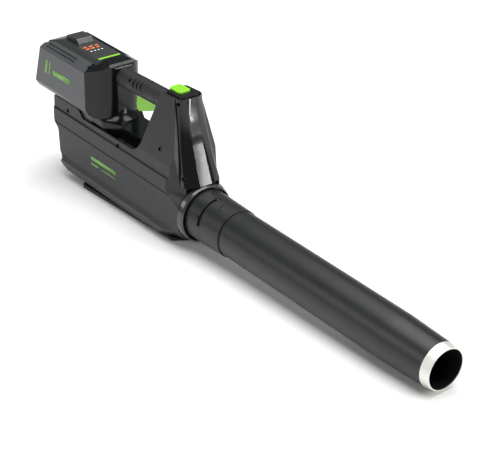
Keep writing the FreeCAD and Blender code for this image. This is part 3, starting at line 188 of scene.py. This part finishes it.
def core_material():
    """Satin grey round the battery, turning to polished black on the neck, with the parting line."""
    material, tree, shader = new_material("core_plastic")
    satin, polished = (0.062, 0.065, 0.069), (0.004, 0.005, 0.006)
    corner = spot(CRADLE_CORNER, 0, 0).dot(FORWARD)
    blend = 1.5 * MM
    to_neck = step(tree, along(tree, FORWARD), corner - blend, corner + blend)
    drift = noise(tree, 16, 3)
    grey = tint(tree, drift, shade(satin, 0.92), shade(satin, 1.08))
    mix = node(tree, "ShaderNodeMix", data_type="RGBA")
    tree.links.new(to_neck, mix.inputs[0])
    tree.links.new(grey, mix.inputs[6])
    mix.inputs[7].default_value = (*polished, 1)
    split = node(tree, "ShaderNodeMath", operation="ABSOLUTE")
    tree.links.new(along(tree, ACROSS), split.inputs[0])
    beside_split = step(tree, split.outputs[0], 0.1 * MM, 0.4 * MM)
    line = node(tree, "ShaderNodeMix", data_type="RGBA")
    line.inputs[6].default_value = (0.002, 0.002, 0.002, 1)
    tree.links.new(beside_split, line.inputs[0])
    tree.links.new(mix.outputs[2], line.inputs[7])
    tree.links.new(line.outputs[2], shader.inputs["Base Color"])
    gloss = node(tree, "ShaderNodeMapRange")
    gloss.inputs["To Min"].default_value = 0.38
    gloss.inputs["To Max"].default_value = 0.17
    tree.links.new(to_neck, gloss.inputs["Value"])
    tree.links.new(gloss.outputs["Result"], shader.inputs["Roughness"])
    sheen = node(tree, "ShaderNodeMapRange")
    sheen.inputs["To Min"].default_value = 0.42
    sheen.inputs["To Max"].default_value = 0.30
    tree.links.new(to_neck, sheen.inputs["Value"])
    tree.links.new(sheen.outputs["Result"], shader.inputs["Specular IOR Level"])
    fine = noise(tree, 1500, 1.5, 0.6)
    tree.links.new(bump(tree, fine, 0.25, 0.00003, edge_softener(tree, 0.0009)), shader.inputs["Normal"])
    return material


def grip_material():
    """Soft black grip with rows of small raised dots."""
    material, tree, shader = new_material("grip_rubber")
    color = (0.014, 0.014, 0.015)
    coords = node(tree, "ShaderNodeTexCoord")
    dots = node(tree, "ShaderNodeTexVoronoi", Scale=620.0, Randomness=0.15)
    tree.links.new(coords.outputs["Object"], dots.inputs["Vector"])
    height = ramp_range(tree, dots.outputs["Distance"], 1.0, 0.0, 0.1, 0.55)
    # The base colour follows the dots' height: painted highlight on the raised tops and painted shade
    # between them.
    tree.links.new(tint(tree, height, shade(color, 0.7), shade(color, 1.5)), shader.inputs["Base Color"])
    tree.links.new(bump(tree, height, 0.6, 0.00025), shader.inputs["Normal"])
    tree.links.new(ramp_range(tree, noise(tree, 60, 3), 0.42, 0.58), shader.inputs["Roughness"])
    return material


def board_material():
    """Circuit board: green lacquer over a pattern of tracks."""
    material, tree, shader = new_material("board_lacquer")
    coords = node(tree, "ShaderNodeTexCoord")
    tracks = node(tree, "ShaderNodeTexBrick", Scale=90.0)
    tracks.inputs["Color1"].default_value = (0.010, 0.10, 0.035, 1)
    tracks.inputs["Color2"].default_value = (0.008, 0.075, 0.03, 1)
    tracks.inputs["Mortar"].default_value = (0.05, 0.20, 0.07, 1)
    tree.links.new(coords.outputs["Object"], tracks.inputs["Vector"])
    tree.links.new(tracks.outputs["Color"], shader.inputs["Base Color"])
    tree.links.new(ramp_range(tree, noise(tree, 200), 0.25, 0.4), shader.inputs["Roughness"])
    return material


MATERIALS = {
    "flank": moulded("flank_plastic", (0.015, 0.016, 0.018), 0.38, vary=0.04, specular=0.30),
    "core": core_material(),
    "fairing": moulded("fairing_gloss", (0.003, 0.003, 0.004), 0.09, grain=500, depth=0.000004, vary=0.03,
                       coat=0.25, specular=0.35),
    "tube": moulded("tube_plastic", (0.009, 0.010, 0.010), 0.40, grain=2200, depth=0.00001, vary=0.02,
                    specular=0.45),
    "grip": grip_material(),
    "ring": metal("ring_aluminium", (0.80, 0.79, 0.74), 0.52, (900, 8, 8)),
    "trim": moulded("outlet_trim", (0.035, 0.037, 0.039), 0.20, coat=0.3),
    "green": moulded("green_plastic", (0.24, 0.62, 0.025), 0.36, spread=0.05),
    "fan": moulded("fan_plastic", (0.02, 0.02, 0.022), 0.45),
    # Screw heads coloured near black: painted shade of the holes and wells they sit in.
    "steel": metal("screw_steel_painted_shade", (0.016, 0.016, 0.017), 0.42),
    "bright": metal("bearing_steel", (0.62, 0.62, 0.63), 0.25),
    "heatsink": metal("heatsink_aluminium", (0.72, 0.73, 0.74), 0.35),
    "board": board_material(),
    "cell": moulded("cell_wrap", (0.03, 0.16, 0.42), 0.3, grain=300, depth=0.00001),
    "battery": moulded("battery_plastic", (0.030, 0.032, 0.032), 0.24, depth=0.00002),
    "label": moulded("label_film", (0.028, 0.029, 0.030), 0.16, grain=400, depth=0.00001, coat=0.4),
    "switch": moulded("switch_plastic", (0.02, 0.02, 0.02), 0.5),
    "base": moulded("base_rubber", (0.012, 0.012, 0.012), 0.62, grain=900, depth=0.0001),
    # Near-black, barely reflective sheets for the grip's slits and the chamfer's screw well: painted shade
    # of those recesses.
    "void": moulded("painted_recess_shade", (0.002, 0.002, 0.002), 0.8, specular=0.08),
    "print": moulded("green_print", (0.19, 0.46, 0.08), 0.42, spread=0.04, depth=0.00001),
    "orange": moulded("orange_print", (0.80, 0.18, 0.04), 0.42, spread=0.04, depth=0.00001),
    "white": moulded("white_print", (0.75, 0.76, 0.76), 0.42, spread=0.04, depth=0.00001),
}

NODE_LOOKS = {
    "flank": ("panel_left", "panel_right", "rear_cover", "handle_core"),
    "core": ("core_left", "core_right"),
    "fairing": ("front_fairing", "button_plate"),
    "tube": ("blow_tube", "tube_collar"),
    "grip": ("handle_grip",),
    "ring": ("nozzle_ring",),
    "trim": ("outlet_ring",),
    "green": ("trigger", "boost_button", "battery_stripe"),
    "fan": ("fan_impeller", "fan_nose", "fan_duct", "stator_vanes", "tail_cone", "outlet_spigot",
            "intake_grille_left", "intake_grille_right"),
    "steel": ("flank_screws", "fairing_screws"),
    "bright": ("motor_shaft", "front_bearing", "rear_bearing", "trigger_pin", "trigger_spring",
               "button_spring", "motor_can", "motor_stator", "motor_rotor"),
    "heatsink": ("heatsink",),
    "board": ("controller_board", "button_board", "battery_board"),
    "cell": ("battery_cells",),
    "battery": ("battery_tray", "battery_lid", "battery_latch"),
    "label": ("battery_label",),
    "switch": ("trigger_switch", "battery_dock", "battery_terminals"),
    "base": ("base_skid",),
}


def dress_nodes():
    for look, names in NODE_LOOKS.items():
        for name in names:
            for held in NODES[name].material_slots:
                held.material = MATERIALS[look]


# ---------------------------------------------------------------- pieces
# Sizes and places are in millimetres, in the tube's frame.

GRIP_RADIUS = 18.5
GRIP_REAR = (-272, 176)
GRIP_FRONT = (-102, 181)
SLITS = 3
SLIT_STEPS = 12
SLIT_START = -206
SLIT_PITCH = 11.5
SLIT_BOW = 5.5
SLIT_DRIFT = 9
SLIT_THICK = 0.18

PRINT_PROUD = 0.12
PRINT_SUNK = 0.1
CRADLE_FLANK = 58
BODY_FLANK = 54
# x, z, width, height, corner radius and, where the bar leans, its lean
CRADLE_BARS = ((-446, 148, 7, 30, 3, 0.25), (-434, 148, 4, 30, 2, 0.25), (-392, 143, 62, 10, 3))
FLANK_BARS = ((-258, 8, 86, 7, 2), (-288, -4, 26, 4, 1.2), (-240, -4, 50, 2, 0.8))

# x, angle round the tube, length, degrees of sweep, radius, thickness
COLLAR_BARS = ((62, 16, 6, 5, 46.9, 0.5), (62, 24, 3, 4, 46.9, 0.5), (66, 20, 3, 10, 46.8, 0.4),
               (58, -6, 5, 4, 47.0, 0.5), (64, -9, 3, 8, 46.9, 0.4))

LAMPS = 4
LAMP_AT = (-352, -13)
LAMP_PITCH = 8
# x, y, size along X, size across
LABEL_BLOCKS = ((-374, -14, 4, 9), (-374, -1, 4, 9), (-374, 12, 4, 8),
                (-365, -13, 5, 8), (-365, -2, 5, 9), (-365, 10, 5, 7))

CHAMFER_IN = 22
CHAMFER_DROP = 16
WELL_AT = (CRADLE_CORNER, -47, 190)
WELL_SIZE = 6.6

RIDGES = 3
RIDGE_START = -91
RIDGE_PITCH = 8


def piece(name, verts, faces, look, body, slot_name, smooth=True):
    mesh = bpy.data.meshes.new(name)
    mesh.from_pydata([tuple(v) for v in verts], [], faces)
    made = bmesh.new()
    made.from_mesh(mesh)
    bmesh.ops.recalc_face_normals(made, faces=made.faces)
    made.to_mesh(mesh)
    made.free()
    mesh.materials.append(MATERIALS[look])
    for face in mesh.polygons:
        face.use_smooth = smooth
    thing = bpy.data.objects.new(name, mesh)
    bpy.context.scene.collection.objects.link(thing)
    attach(thing, body)
    return thing


def plate(outer, inner):
    """Vertices and faces of a closed sheet between two matching rings of points."""
    count = len(outer)
    verts = list(outer) + list(inner)
    faces = [tuple(range(count)), tuple(range(2 * count - 1, count - 1, -1))]
    for i in range(count):
        j = (i + 1) % count
        faces.append((i, j, count + j, count + i))
    return verts, faces


def merge(parts):
    """Joins several (verts, faces) pairs into one."""
    verts, faces = [], []
    for some_verts, some_faces in parts:
        start = len(verts)
        verts.extend(some_verts)
        faces.extend(tuple(start + i for i in face) for face in some_faces)
    return verts, faces


def strip(lefts, rights, normals, thick):
    """A closed ribbon: pairs of edge points, raised along normals by thick."""
    count = len(lefts)
    verts = []
    for a, b, n in zip(lefts, rights, normals):
        verts.extend((a - n * thick * 0.5, b - n * thick * 0.5, b + n * thick, a + n * thick))
    faces = [(0, 1, 2, 3), tuple(4 * (count - 1) + k for k in (3, 2, 1, 0))]
    for i in range(count - 1):
        for k in range(4):
            m = (k + 1) % 4
            faces.append((4 * i + k, 4 * i + m, 4 * i + 4 + m, 4 * i + 4 + k))
    return verts, faces


def rounded(width, height, radius, turns=6):
    """Corners of a rounded rectangle about the origin."""
    points = []
    for cx, cy, start in ((1, 1, 0), (-1, 1, 90), (-1, -1, 180), (1, -1, 270)):
        for k in range(turns + 1):
            a = math.radians(start + 90 * k / turns)
            points.append((cx * (width / 2 - radius) + radius * math.cos(a),
                           cy * (height / 2 - radius) + radius * math.sin(a)))
    return points


def side_mark(flank, x, z, width, height, radius, lean=0.0):
    """A thin printed bar on the right-hand side face at |Y| = flank; lean shifts its top along X."""
    shape = rounded(width, height, radius)
    outer = [spot(x + u + v * lean, -flank - PRINT_PROUD, z + v) for u, v in shape]
    inner = [spot(x + u + v * lean, -flank + PRINT_SUNK, z + v) for u, v in shape]
    return plate(outer, inner)


def top_mark(x, y, width, length, radius, height, proud, sunk):
    """A low bar on a face that looks up, width along X and length across."""
    shape = rounded(width, length, radius)
    return plate([spot(x + u, y + v, height + proud) for u, v in shape],
                 [spot(x + u, y + v, height - sunk) for u, v in shape])


def on_grip(x, angle, radius):
    """A point round the handle's axis; angle 0 is the top, positive to the right side."""
    share = (x - GRIP_REAR[0]) / (GRIP_FRONT[0] - GRIP_REAR[0])
    height = GRIP_REAR[1] + share * (GRIP_FRONT[1] - GRIP_REAR[1])
    a = math.radians(angle)
    return spot(x, -radius * math.sin(a), height + radius * math.cos(a))


def claw_slit_shade():
    """Near-black ribbons laid on both sides of the grip along its curved slits: painted shade inside the
    slits.
    """
    parts = []
    for side in (RIGHT, LEFT):
        for index in range(SLITS):
            lefts, rights, normals = [], [], []
            for k in range(SLIT_STEPS + 1):
                t = k / SLIT_STEPS
                angle = -side * (34 + 66 * t)
                bow = SLIT_BOW * math.sin(math.pi * t)
                half = 0.3 + 1.7 * math.sin(math.pi * t)
                x = SLIT_START + index * SLIT_PITCH - bow + SLIT_DRIFT * t
                lefts.append(on_grip(x - half, angle, GRIP_RADIUS))
                rights.append(on_grip(x + half, angle, GRIP_RADIUS))
                normals.append((on_grip(x, angle, GRIP_RADIUS) - on_grip(x, angle, 0)).normalized())
            parts.append(strip(lefts, rights, normals, SLIT_THICK * MM))
    piece("grip_slit_shade", *merge(parts), "void", "housing", "switch_plastic")


def print_marks():
    """Plain green bars where a maker would print a name."""
    for name, flank, bars in (("cradle_print", CRADLE_FLANK, CRADLE_BARS),
                              ("flank_print", BODY_FLANK, FLANK_BARS)):
        marks = [side_mark(flank, *bar) for bar in bars]
        piece(name, *merge(marks), "print", "housing", "green_plastic")


def curved_mark(x, angle, length, sweep, radius, thick):
    """A raised bar on the collar: length along X, sweep degrees round it."""
    steps = 5
    lefts, rights, normals = [], [], []
    for k in range(steps):
        a = angle - sweep / 2 + sweep * k / (steps - 1)
        lefts.append(around_tube(x - length / 2, a, radius))
        rights.append(around_tube(x + length / 2, a, radius))
        normals.append((around_tube(x, a, radius) - around_tube(x, a, 0)).normalized())
    return strip(lefts, rights, normals, thick * MM)


def collar_marks():
    """Raised bars on the collar beside the bayonet slot."""
    parts = [curved_mark(*bar) for bar in COLLAR_BARS]
    piece("collar_marks", *merge(parts), "tube", "blow_tube", "tube_plastic")


def label_details():
    """Indicator windows and plain colour blocks on the pack's label."""
    top = top_of("battery_label")
    lamps = [top_mark(LAMP_AT[0], LAMP_AT[1] + index * LAMP_PITCH, 3.6, 4, 1.5, top, 0.2, 0.2)
             for index in range(LAMPS)]
    blocks = [top_mark(*block, 1, top, 0.15, 0.2) for block in LABEL_BLOCKS]
    piece("label_lamps", *merge(lamps), "white", "battery", "label_film", smooth=False)
    piece("label_blocks", *merge(blocks), "orange", "battery", "label_film", smooth=False)


def chamfer_well_shade():
    """A dark sheet over the screw well near the front of the cradle's right-hand chamfer: painted shade of
    the well.
    """
    outward = (ACROSS * -CHAMFER_DROP + UPWARD * CHAMFER_IN).normalized()
    downhill = outward.cross(FORWARD)
    rim = [spot(*WELL_AT) + (FORWARD * u + downhill * v) * MM for u, v in rounded(WELL_SIZE, WELL_SIZE, 3.2)]
    proud = [point + outward * 0.15 * MM for point in rim]
    sunk = [point - outward * 0.3 * MM for point in rim]
    piece("chamfer_well_shade", *plate(proud, sunk), "void", "housing", "switch_plastic", smooth=False)


def button_ridges():
    """Three low ridges on the top button."""
    high = top_of("boost_button")
    parts = [top_mark(RIDGE_START + index * RIDGE_PITCH, 0, 3, 15, 1.4, high, 0.5, 0.3)
             for index in range(RIDGES)]
    piece("button_ridges", *merge(parts), "green", "boost_button", "green_plastic")


# ---------------------------------------------------------------- stage, light, camera
# Places are in metres in the row's frame, lens and sensor in millimetres.

FLOOR_HALF = 14
CAMERA_PLACE = (2.1552, -1.4264, 1.2935)
CAMERA_AZIMUTH = 51.94
CAMERA_ELEVATION = 27.42
CAMERA_LENS = 108
CAMERA_SENSOR = 36


def stage():
    mesh = bpy.data.meshes.new("floor")
    corners = [(x * FLOOR_HALF, y * FLOOR_HALF, 0) for x, y in ((-1, -1), (1, -1), (1, 1), (-1, 1))]
    mesh.from_pydata(corners, [], [(0, 1, 2, 3)])
    floor = bpy.data.objects.new("floor", mesh)
    bpy.context.scene.collection.objects.link(floor)
    material, tree, shader = new_material("floor_white")
    tree.links.new(tint(tree, noise(tree, 1.5), (0.93, 0.93, 0.93), (0.95, 0.95, 0.95)),
                   shader.inputs["Base Color"])
    shader.inputs["Roughness"].default_value = 0.9
    shader.inputs["Specular IOR Level"].default_value = 0.1
    mesh.materials.append(material)


def softbox(name, place, aim, size, power, seen=True):
    lamp = bpy.data.lights.new(name, "AREA")
    lamp.shape = "RECTANGLE"
    lamp.size, lamp.size_y = size
    lamp.energy = power
    thing = bpy.data.objects.new(name, lamp)
    thing.location = place
    thing.rotation_mode = "QUATERNION"
    thing.rotation_quaternion = (Vector(aim) - Vector(place)).to_track_quat("-Z", "Y")
    thing.visible_camera = seen
    bpy.context.scene.collection.objects.link(thing)


def lights():
    softbox("overhead", (0.3, 0.3, 3.0), (0.3, 0, 0), (3.0, 3.0), 140)
    softbox("left_wall", (-0.9, -2.6, 1.4), (-0.1, 0, 0.1), (1.6, 1.0), 20)
    softbox("right_strip", (2.3, 1.5, 0.9), (0.15, 0, 0.15), (0.30, 1.6), 24)
    softbox("low_strip", (0.75, 0.32, 0.05), (0.16, 0, 0.19), (0.09, 0.12), 0.8, seen=False)
    world = bpy.data.worlds.new("studio")
    world.use_nodes = True
    world.node_tree.nodes["Background"].inputs["Color"].default_value = (1, 1, 1, 1)
    world.node_tree.nodes["Background"].inputs["Strength"].default_value = 0.2
    bpy.context.scene.world = world


def camera():
    data = bpy.data.cameras.new("camera")
    data.lens = CAMERA_LENS
    data.sensor_width = CAMERA_SENSOR
    thing = bpy.data.objects.new("camera", data)
    thing.location = CAMERA_PLACE
    thing.rotation_mode = "QUATERNION"
    azimuth, elevation = math.radians(CAMERA_AZIMUTH), math.radians(CAMERA_ELEVATION)
    look = Vector((-math.sin(azimuth) * math.cos(elevation), math.cos(azimuth) * math.cos(elevation),
                   -math.sin(elevation)))
    thing.rotation_quaternion = look.to_track_quat("-Z", "Y")
    bpy.context.scene.collection.objects.link(thing)
    bpy.context.scene.camera = thing


dress_nodes()
claw_slit_shade()
print_marks()
collar_marks()
label_details()
button_ridges()
chamfer_well_shade()
stage()
lights()
camera()
bpy.context.scene.view_settings.view_transform = "Standard"
